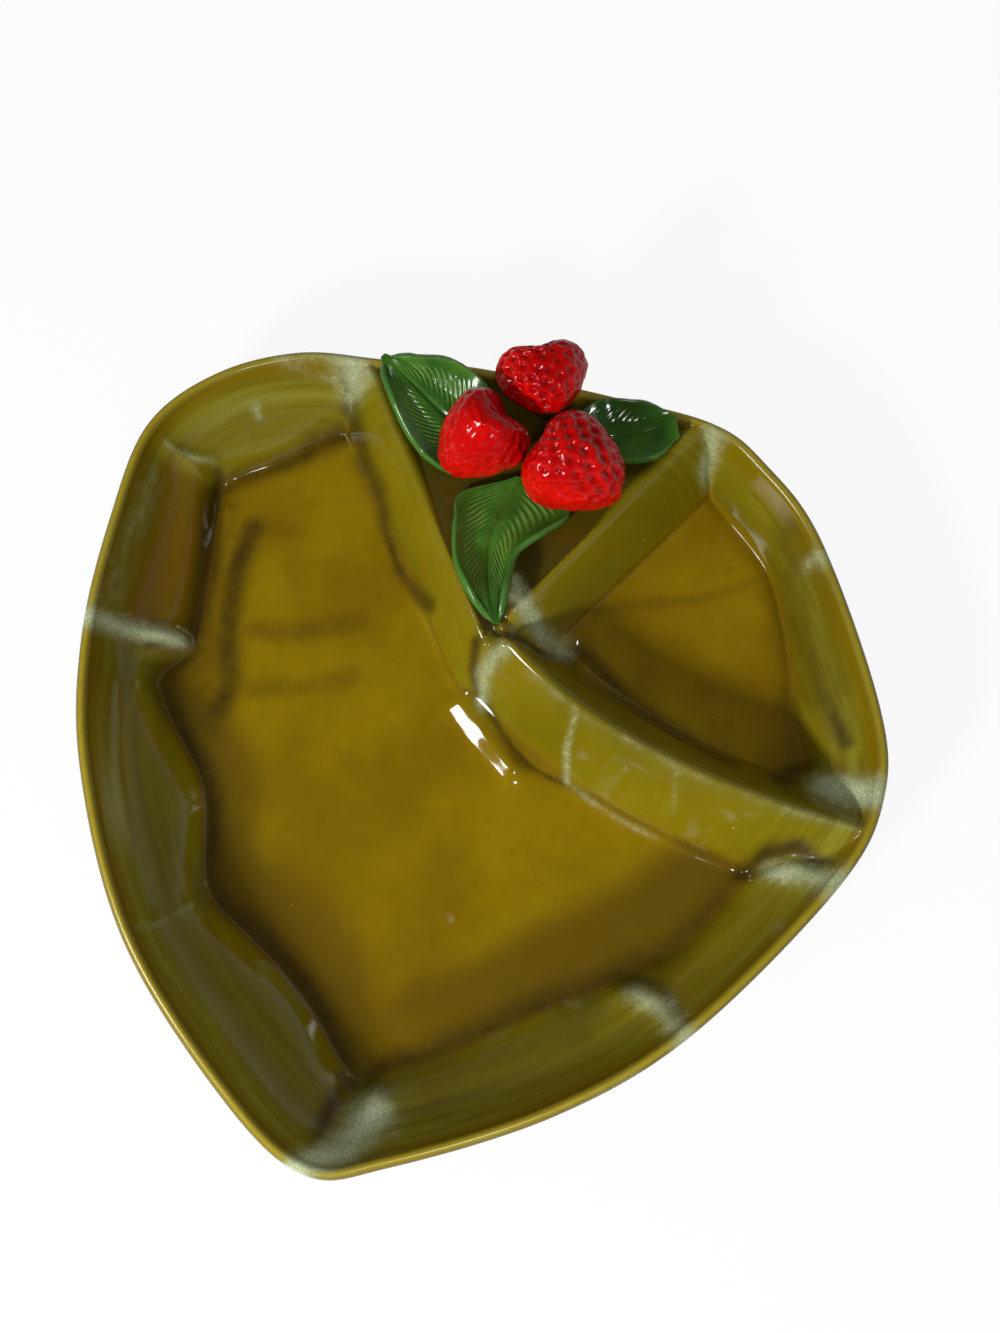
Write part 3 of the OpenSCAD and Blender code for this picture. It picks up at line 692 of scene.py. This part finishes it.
def oliveGlaze():
    material, w = newMaterial("olive glaze", (0.2, 0.15, 0.01, 1))
    tone, grain = oliveTones, oliveGrain
    mintMark, pool, gather, land, trough, height, inset, down, bare = map(w.attribute, markNames)
    around = w.attribute("around")
    bands = {key: inset.band(*edges) for key, edges in oliveBands.items()}
    cloud = w.grain(grain["cloud"], detail=3.0)
    mottle = w.grain(grain["mottle"], detail=3.0, roughness=0.6)
    fine = w.grain(grain["fine"], detail=1.0)
    cloudShift = (cloud - 0.5) * 0.12
    # brush streaks run along the rim
    strip = w.node("CombineXYZ", sockets={"X": around * 16.0, "Y": inset * 0.30, "Z": height})
    streak = w.node("TexNoise", sockets={"Vector": strip, "Scale": 1.0, "Detail": 3.0, "Roughness": 0.55,
                                         "Distortion": 0.6})

    # amber floors, green walls and divider
    amber = cloud.step(0.35, 0.65).blend(tone["amberDark"], tone["amberLight"])
    amber = (mottle.step(0.45, 0.8) * 0.25).blend(amber, tone["amberMottle"])
    brushed = inset.step(28.0, 46.0)    # away from the rim the streaks give way to clouds
    strokeMix = streak + brushed * (cloud - streak)
    green = (strokeMix * 0.7 + cloud * 0.3).step(0.25, 0.75).blend(tone["greenDark"], tone["greenLight"])
    streaked = brushed * (mottle * 0.5 + cloud * 0.5).step(0.46, 0.62)
    green = (streaked * 0.35).blend(green, tone["greenStreak"])
    raisedShare = (height + cloudShift).step(0.01, 0.20)
    wallShare = raisedShare.most(1.0 - (down + cloudShift).step(0.86, 1.06))
    colour = wallShare.blend(amber, green)

    # thinner and paler just under the lip, with an ochre line beside it
    paleBand = bands["underLip"] * height.step(0.3, 0.6)
    colour = (paleBand * streak.step(0.30, 0.75) * 0.45).blend(colour, tone["underLip"])
    colour = (bands["ochreLine"] * 0.55).blend(colour, tone["ochreLine"])
    colour = (bands["lip"] * (0.5 + mottle * 0.4)).blend(colour, tone["lip"])
    # a dark brown line along the outer edge of the lip
    colour = (bands["lipEdge"] * (0.55 + mottle * 0.5)).blend(colour, tone["lipEdge"])

    # glaze runs brown in the deep flute; painted shadow over the floor; pooled glaze with painted shade in the
    # creases; painted shade low on the land
    # pooled glaze and painted shade, darkened together towards the pool colour
    thick = (pool * (0.85 + (mottle - 0.5) * 0.5 + (cloud - 0.5) * 0.6)).step(0.0, 1.0)
    colour = (trough * (0.65 + cloud * 0.5)).blend(colour, tone["trough"])
    # painted shadow of the front and left walls over the floor
    colour = (gather * (0.7 + cloud * 0.25)).blend(colour, tone["gather"])
    colour = (thick * 0.92).blend(colour, tone["pool"])
    colour = (land * 0.9).blend(colour, tone["land"])

    # pale breaks: light cells with dark crackle, scattered to specks at their edge
    cell = w.node("TexVoronoi", {"feature": "DISTANCE_TO_EDGE"},
                  {"Vector": w.place(), "Scale": grain["crackle"]})
    crackle = 1.0 - cell.step(0.02, 0.16)
    scatter = (fine - 0.5) * 0.7 + (mottle - 0.5) * 1.1 + (streak - 0.5) * 0.5
    pale = (mintMark + scatter * mintMark.step(0.0, 0.4) * (1.2 - mintMark)).step(0.05, 1.25)
    colour = (mintMark.step(0.0, 0.9) * 0.5).blend(colour, tone["mintWash"])
    colour = (pale * 0.85).blend(colour, tone["mint"])
    colour = (crackle * mintMark.step(0.3, 0.9) * 0.5).blend(colour, tone["crackle"])

    colour = (w.specks(grain["gold"], 0.06, 0.05) * 0.8).blend(colour, tone["goldSpeck"])
    colour = (w.specks(grain["dark"], 0.05, 0.03) * 0.8).blend(colour, tone["darkSpeck"])
    colour = bare.blend(colour, tone["bareClay"])
    onWall = height.step(0.10, 0.40) * (1.0 - inset.step(30.0, 46.0))
    roughness = 0.07 + mottle * 0.04 + onWall * 0.13 + pale * 0.14 + bare * 0.6
    relief = w.node("Bump", sockets={"Strength": 0.06, "Distance": 0.0006,
                                     "Height": cloud * 0.6 + mottle * 0.4})
    surface(w, {"Base Color": colour, "Roughness": roughness, "Normal": relief, "IOR": 1.52})
    return material


insideRings()
outsideRings()
dishPiece = finishPiece(ringSkin(), "glazedDish", oliveGlaze(), "dish_body")
print("dish skin,", len(dishPiece.data.polygons), "faces")


# leaves and strawberries stand round one place on the land, in steps of a berry's mean size

berryLength, berryWidth = 37.0, 35.0
berrySize = (berryLength + berryWidth * 2) / 3

leafForm = {
    "length": 66.0, "width": 42.0, "thick": 2.6, "bed": 0.8,
    # the middle that lies flat: share of the half width, its least in millimetres, its most
    "flat": 0.4, "flatLeast": 4.5, "flatMost": 0.8,
    "curlStart": 0.12, "curlEase": 0.3, "curlPower": 1.2,
    "liftStart": 0.46, "liftEase": 0.5,
    "along": 250, "across": 72,
    "veins": 25, "veinDepth": 0.5, "veinSlant": 0.30, "veinWidth": 2.2,
    "veinsAcross": (0.06, 0.3, 0.93, 0.3),
    "veinsAlong": (0.0, 0.08, 0.97, 0.1),
    "veinSway": (9.0, 0.16),    # size of the waves, strength
    "veinFade": (7.0, 0.9, 0.45),    # size, mean, strength
    "ribDepth": 0.9, "ribWidth": 0.06, "ribEnd": (0.94, 0.25),
    "swell": (14.0, 0.35), "swellEnd": (0.9, 0.3),
    "edgeStart": 0.86,
}
backPoint = np.array((0.125, 0.93)) * dish["half"]
cluster = backPoint - np.array((0, leafForm["width"] * 0.62))
leaves = {
    "left_leaf": {"base": (-0.25, -0.35), "heading": 137, "length": 1.0, "bow": 0.0, "veins": 1.0,
                  "left": (0.15, 0.72, 0.90, 0.83, 0.64, 0.38, 0.06),
                  "right": (0.15, 0.60, 0.78, 0.88, 0.76, 0.34, 0.06), "curl": (1.1, 1.2)},
    "front_leaf": {"base": (-0.05, -0.475), "heading": 260, "length": 0.95, "bow": -0.40, "veins": 1.0,
                   "left": (0.15, 1.12, 0.92, 0.52, 0.38, 0.20, 0.06),
                   "right": (0.15, 0.90, 0.75, 0.62, 0.52, 0.31, 0.06), "curl": (1.0, 0.9)},
    "right_leaf": {"base": (0.25, -0.09), "heading": 7, "length": 0.74, "bow": 0.0, "veins": 0.25,
                   "left": (0.15, 0.42, 0.64, 0.70, 0.56, 0.40, 0.20),
                   "right": (0.15, 0.40, 0.50, 0.50, 0.60, 0.55, 0.25), "curl": (0.9, 0.8)},
}


def leafSheet(plan):
    f = leafForm
    bm = bmesh.new()
    bmesh.ops.create_grid(bm, x_segments=f["along"], y_segments=f["across"], size=1.0)
    vein = bm.verts.layers.float.new("vein")
    edge = bm.verts.layers.float.new("edge")
    spots = np.array([v.co[:2] for v in bm.verts])
    t, s = (spots[:, 0] + 1) / 2, spots[:, 1]
    out = np.abs(s)
    turn = math.radians(plan["heading"])
    axis = np.array((math.cos(turn), math.sin(turn)))
    side = np.array((-axis[1], axis[0]))
    half = f["width"] / 2 * np.where(s < 0, tableAt(plan["right"], t), tableAt(plan["left"], t))
    bow = f["width"] / 2 * plan["bow"] * np.sin(math.pi * t)
    place = (cluster + np.array(plan["base"]) * berrySize
             + (axis * f["length"] * plan["length"]) * t[:, None] + side * (bow + half * s)[:, None])
    flat = np.minimum(f["flatMost"], np.maximum(f["flat"], f["flatLeast"] / half))
    rise = np.maximum(0.0, out - flat) / (1 - flat)
    curlShare = np.where(s < 0, plan["curl"][1], plan["curl"][0])
    curl = dish["landDrop"] * curlShare * window(t, f["curlStart"], f["curlEase"], 1.0, f["curlEase"])
    lift = (dish["landDrop"] + f["bed"]) * ease((t - f["liftStart"]) / f["liftEase"])
    z = form.land + f["bed"] + lift + curl * rise ** f["curlPower"]
    z = np.maximum(z, form.raised(place)[0] + f["bed"])

    # feather veins, midrib groove and a slight swell
    swaySize, sway = f["veinSway"]
    phase = (t - out * f["veinSlant"]) * f["veins"] * plan["length"] + waviness(place, swaySize, 4) * sway
    comb = 1 - (0.5 + 0.5 * np.cos(2 * math.pi * phase)) ** f["veinWidth"]
    fadeSize, mean, fade = f["veinFade"]
    clear = np.clip(mean + fade * waviness(place, fadeSize, 5), 0, 1)
    relief = comb * window(out, *f["veinsAcross"]) * window(t, *f["veinsAlong"]) * plan["veins"] * clear
    ribEnd, ribRun = f["ribEnd"]
    rib = bump(s, f["ribWidth"]) * ease((ribEnd - t) / ribRun)
    swellSize, swell = f["swell"]
    swellEnd, swellRun = f["swellEnd"]
    swelling = waviness(place, swellSize, 6) * swell * ease((swellEnd - out) / swellRun)
    z = z + f["thick"] + relief * f["veinDepth"] - rib * f["ribDepth"] + np.maximum(0.0, swelling)
    worn = ease((out - f["edgeStart"]) / (1 - f["edgeStart"]))
    for k, v in enumerate(bm.verts):
        v.co = (place[k, 0] * mm, place[k, 1] * mm, z[k] * mm)
        v[vein] = float(relief[k])
        v[edge] = float(worn[k])
    bmesh.ops.recalc_face_normals(bm, faces=bm.faces)
    if sum(face.normal.z for face in bm.faces) < 0:
        bmesh.ops.reverse_faces(bm, faces=bm.faces)
    bmesh.ops.solidify(bm, geom=bm.faces, thickness=f["thick"] * mm)
    return bm


leafTones = {
    "deepDark": (0.024, 0.082, 0.010, 1), "deepLight": (0.058, 0.160, 0.014, 1),
    "vein": (0.13, 0.26, 0.045, 1), "worn": (0.075, 0.19, 0.035, 1),
}


def leafGlaze():
    material, w = newMaterial("leaf glaze", (0.03, 0.12, 0.02, 1))
    tone = leafTones
    vein, edge = w.attribute("vein"), w.attribute("edge")
    cloud = w.grain(60.0, detail=3.0)
    fine = w.grain(420.0)
    deep = cloud.step(0.3, 0.7).blend(tone["deepDark"], tone["deepLight"])
    thin = (vein + (fine - 0.5) * 0.3).step(0.30, 1.1)
    colour = (thin * 0.75).blend(deep, tone["vein"])
    worn = (edge + (fine - 0.5) * 0.6).step(0.25, 1.0)
    colour = (worn * 0.5).blend(colour, tone["worn"])
    relief = w.node("Bump", sockets={"Strength": 0.1, "Distance": 0.0004, "Height": cloud})
    surface(w, {"Base Color": colour, "Roughness": 0.10 + fine * 0.08, "Normal": relief, "IOR": 1.48})
    return material


finishPieces(leaves, leafSheet, leafGlaze())


berryForm = {
    "length": berryLength, "width": berryWidth, "seat": 42.8, "flat": 3.0, "widest": 0.27,
    # share of the length from the stem end, share of the half width
    "profile": [(0.10, 0.00), (0.04, 0.20), (0.00, 0.40), (0.03, 0.62), (0.12, 0.86), (0.27, 1.00),
                (0.45, 0.96), (0.65, 0.80), (0.82, 0.58), (0.94, 0.32), (1.00, 0.00)],
    "cleftWidth": 0.42, "cleftEnd": (0.52, 0.5),
    "pits": 170, "pitDepth": 1.5, "pitWidth": 0.095, "pitShake": 0.09,
    "lumps": 0.6, "lumpScale": 2.2,
    "ripples": 0.38, "rippleScale": 7.5,
    # the way the side with painted shade faces, away from the lamp
    "shadeWay": (0.45, 0.80, 0.25),
}
berries = {
    "left_strawberry": {"place": (-0.371, -0.078), "heading": 217, "tilt": 17, "size": 0.96,
                        "spread": 1.03, "cleft": 0.11, "seed": 3},
    "right_strawberry": {"place": (0.302, -0.452), "heading": 330, "tilt": 8, "size": 1.05,
                         "spread": 1.05, "cleft": 0.04, "seed": 7},
    "rear_strawberry": {"place": (0.118, 0.661), "heading": 281, "tilt": -14, "size": 0.81,
                        "spread": 1.26, "cleft": 0.17, "seed": 12},
}


def seedSpots(count, shake, seed):
    # a spiral round the ball, shaken a little, the same in each run
    noise.seed_set(seed)
    golden = math.pi * (3 - math.sqrt(5))
    tree = kdtree.KDTree(count)
    for k in range(count):
        h = 1 - 2 * (k + 0.5) / count
        r = math.sqrt(1 - h * h)
        off = noise.noise_vector(Vector((k * 1.7, seed, 0.3))) * shake
        tree.insert(Vector((h, r * math.cos(golden * k), r * math.sin(golden * k))) + off, k)
    tree.balance()
    return tree


def berryBall(plan):
    f = berryForm
    seed = plan["seed"]
    bm = bmesh.new()
    bmesh.ops.create_icosphere(bm, subdivisions=6, radius=1.0)
    pitLayer = bm.verts.layers.float.new("pit")
    farLayer = bm.verts.layers.float.new("far")
    ball = np.array([v.co for v in bm.verts])
    tree = seedSpots(f["pits"], f["pitShake"], seed)
    pit = np.zeros(len(ball))
    lump = np.zeros(len(ball))
    ripple = np.zeros(len(ball))
    for k, p in enumerate(ball):
        where = Vector(p)
        _, which, distance = tree.find(where)
        own = 0.65 + 0.35 * math.sin(which * 2.4 + seed)    # each pit has its own depth and width
        pit[k] = own * math.exp(-(distance / (f["pitWidth"] * (0.6 + 0.5 * own))) ** 2)
        lump[k] = noise.noise(where * f["lumpScale"] + Vector((seed, 0, 0)))
        ripple[k] = noise.noise(where * f["rippleScale"] + Vector((0, seed, 0)))

    # x runs from the stem end to the tip, y across, z up
    polar = np.arccos(np.clip(-ball[:, 0], -1, 1)) / math.pi
    section = tableAt(f["profile"], polar)
    across = np.hypot(ball[:, 1], ball[:, 2])
    around = np.where(across[:, None] > 1e-6, ball[:, 1:] / np.maximum(across, 1e-6)[:, None], 0.0)
    radius = np.maximum(0.0, section[:, 1]) * f["width"] / 2
    y, z = radius * around[:, 0], radius * around[:, 1]
    cleftEnd, cleftRun = f["cleftEnd"]
    cleft = plan["cleft"] * bump(y / (f["width"] / 2), f["cleftWidth"])
    cleft = cleft * ease((cleftEnd - section[:, 0]) / cleftRun)
    x = (section[:, 0] + cleft - f["widest"]) * f["length"]
    depth = f["pitDepth"] * pit - f["lumps"] * lump - f["ripples"] * ripple
    shrink = 1 - depth / (f["width"] / 2)
    body = np.column_stack([x, y * plan["spread"], z]) * shrink[:, None] * plan["size"]
    spot = cluster + np.array(plan["place"]) * berrySize
    centre = Vector((spot[0], spot[1], f["seat"] - f["flat"] + f["width"] / 2 * plan["size"]))
    pose = Euler((0, math.radians(plan["tilt"]), math.radians(plan["heading"]))).to_matrix().to_4x4()
    turn = Matrix.Translation(centre) @ pose
    for k, v in enumerate(bm.verts):
        p = turn @ Vector(body[k])
        p.z = max(p.z, f["seat"])
        v.co = p * mm
        v[pitLayer] = float(pit[k])
    # painted shade: the side turned away from the window lamp, to the back of the dish, is painted a darker red
    bm.normal_update()
    for v in bm.verts:
        v[farLayer] = max(0.0, v.normal.dot(Vector(f["shadeWay"])))
    return bm


berryTones = {
    "redDark": (0.34, 0.001, 0.001, 1), "redLight": (0.58, 0.002, 0.001, 1),
    # pit is painted shade in the pits; back is painted shade on the side turned away from the lamp; grit is
    # dark specks
    "pit": (0.16, 0.0, 0.0, 1), "back": (0.26, 0.004, 0.005, 1), "grit": (0.05, 0.003, 0.003, 1),
}


def berryGlaze():
    material, w = newMaterial("berry glaze", (0.6, 0.01, 0.01, 1))
    tone = berryTones
    pit, far = w.attribute("pit"), w.attribute("far")
    cloud = w.grain(70.0, detail=3.0)
    fine = w.grain(500.0)
    dust = w.grain(900.0, detail=3.0, roughness=0.7)
    red = (cloud * 0.6 + dust * 0.4).step(0.35, 0.65).blend(tone["redDark"], tone["redLight"])
    # painted shade: the pits are painted a darker red
    deep = (pit + (fine - 0.5) * 0.5).step(0.25, 1.0)
    colour = (deep * 0.7).blend(red, tone["pit"])
    # painted shade on the side away from the lamp, with the dark grit specks laid only on that side
    colour = (far.step(0.35, 0.95) * (0.35 + dust * 0.5)).blend(colour, tone["back"])
    grit = dust.step(0.58, 0.70) * far.step(0.25, 0.8)
    colour = (grit * 0.7).blend(colour, tone["grit"])
    relief = w.node("Bump", sockets={"Strength": 0.15, "Distance": 0.0005, "Height": fine * 0.4 + cloud})
    surface(w, {"Base Color": colour, "Roughness": 0.08 + fine * 0.08, "Normal": relief, "IOR": 1.40})
    return material


finishPieces(berries, berryBall, berryGlaze())


# joining clay under the leaves and the strawberries keeps its solids

def joiningClay():
    material, w = newMaterial("joining clay", (0.08, 0.09, 0.02, 1))
    cloud = w.grain(160.0, detail=3.0)
    fine = w.grain(1200.0)
    colour = cloud.step(0.3, 0.7).blend((0.035, 0.040, 0.006, 1), (0.085, 0.075, 0.015, 1))
    relief = w.node("Bump", sockets={"Strength": 0.3, "Distance": 0.0003, "Height": fine})
    surface(w, {"Base Color": colour, "Roughness": 0.25 + fine * 0.2, "Normal": relief, "IOR": 1.5})
    return material


clayMaterial = joiningClay()
for name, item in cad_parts.items():
    if name.endswith("_slip") or name.endswith("_pad"):
        item.data.materials.clear()
        item.data.materials.append(clayMaterial)
print("joining clay done")


# floor, light and camera

floorForm = {"half": 3.0, "drop": 0.0002, "dark": (0.84, 0.84, 0.84, 1), "light": (0.86, 0.86, 0.86, 1),
             "white": 0.9}    # how far the lens sees it as white


def paleFloor():
    material, w = newMaterial("pale floor", (0.9, 0.9, 0.9, 1))
    seen = w.node("LightPath", out="Is Camera Ray")
    cloud = w.grain(3.0)
    diffuse = w.node("BsdfDiffuse", sockets={"Color": cloud.blend(floorForm["dark"], floorForm["light"])})
    white = w.node("Emission")
    mixed = w.node("MixShader", sockets={0: seen * floorForm["white"], 1: diffuse, 2: white})
    w.node("OutputMaterial", sockets={"Surface": mixed})
    return material


floorBm = bmesh.new()
bmesh.ops.create_grid(floorBm, x_segments=8, y_segments=8, size=floorForm["half"])
floorMesh = bpy.data.meshes.new("floor")
floorBm.to_mesh(floorMesh)
floorBm.free()
floor = bpy.data.objects.new("floor", floorMesh)
bpy.context.scene.collection.objects.link(floor)
floor.location.z = -floorForm["drop"]
floorMesh.materials.append(paleFloor())

# even white to the lens, a plain fill, and in reflections a dim ceiling over a surround
# that is bright low on the right
surround = {"fill": 0.34, "ceiling": 0.03, "low": 0.08, "lowRight": 0.40,
            "rightEdge": (-0.3, 0.5), "topEdge": (0.05, 0.75)}
world = bpy.data.worlds.new("studio")
bpy.context.scene.world = world
world.use_nodes = True
world.node_tree.nodes.clear()
sky = Wire(world.node_tree)
up = sky.node("SeparateXYZ", sockets={0: sky.place("Generated")}, out=2)
right = sky.node("SeparateXYZ", sockets={0: sky.place("Generated")}, out=0)
low = surround["low"] + right.step(*surround["rightEdge"]) * surround["lowRight"]
reflected = surround["ceiling"] + (1.0 - up.step(*surround["topEdge"])) * low
glossyRay = sky.node("LightPath", out="Is Glossy Ray")
cameraRay = sky.node("LightPath", out="Is Camera Ray")
level = surround["fill"] + glossyRay * (reflected - surround["fill"])
level = level + cameraRay * (1.0 - level)
skyLight = sky.node("Background", sockets={"Color": (1, 1, 1, 1), "Strength": level})
sky.node("OutputWorld", sockets={"Surface": skyLight})

# lit: lights the glaze itself; mirrored: shows in its gloss
lamps = [
    {"name": "window", "azimuth": -38, "elevation": 30, "distance": 1.3, "size": (0.20, 0.15), "power": 18.4,
     "lit": True, "mirrored": False},
    {"name": "pane", "azimuth": -75, "elevation": 50, "distance": 1.3, "size": (0.24, 0.32), "power": 7.0,
     "lit": False, "mirrored": True},
    {"name": "overhead", "azimuth": 10, "elevation": 66, "distance": 1.3, "size": (0.10, 0.10), "power": 2.4,
     "lit": True, "mirrored": True},
]
aim = Vector((0.0, 0.02, 0.02))
for lamp in lamps:
    light = bpy.data.lights.new(lamp["name"], "AREA")
    light.shape = "RECTANGLE"
    light.size, light.size_y = lamp["size"]
    light.energy = lamp["power"]
    item = bpy.data.objects.new(lamp["name"], light)
    bpy.context.scene.collection.objects.link(item)
    a, e = math.radians(lamp["azimuth"]), math.radians(lamp["elevation"])
    back = Vector((math.sin(a) * math.cos(e), -math.cos(a) * math.cos(e), math.sin(e)))
    item.location = aim + back * lamp["distance"]
    item.rotation_mode = "QUATERNION"
    item.rotation_quaternion = (-back).to_track_quat("-Z", "Y")
    item.visible_glossy = lamp["mirrored"]
    item.visible_diffuse = lamp["lit"]

shot = {"target": (0.007467, 0.039727, 0.0), "distance": 0.7, "elevation": 72.0, "lens": 47.631, "sensor": 36.0}
camera = bpy.data.cameras.new("photo view")
camera.lens = shot["lens"]
camera.sensor_width = shot["sensor"]
cameraItem = bpy.data.objects.new("photo view", camera)
bpy.context.scene.collection.objects.link(cameraItem)
tilt = math.radians(shot["elevation"])
cameraItem.location = Vector(shot["target"]) + shot["distance"] * Vector((0, -math.cos(tilt), math.sin(tilt)))
cameraItem.rotation_euler = (math.pi / 2 - tilt, 0, 0)
bpy.context.scene.camera = cameraItem
bpy.context.scene.view_settings.view_transform = "Standard"
print("floor, light and camera set")
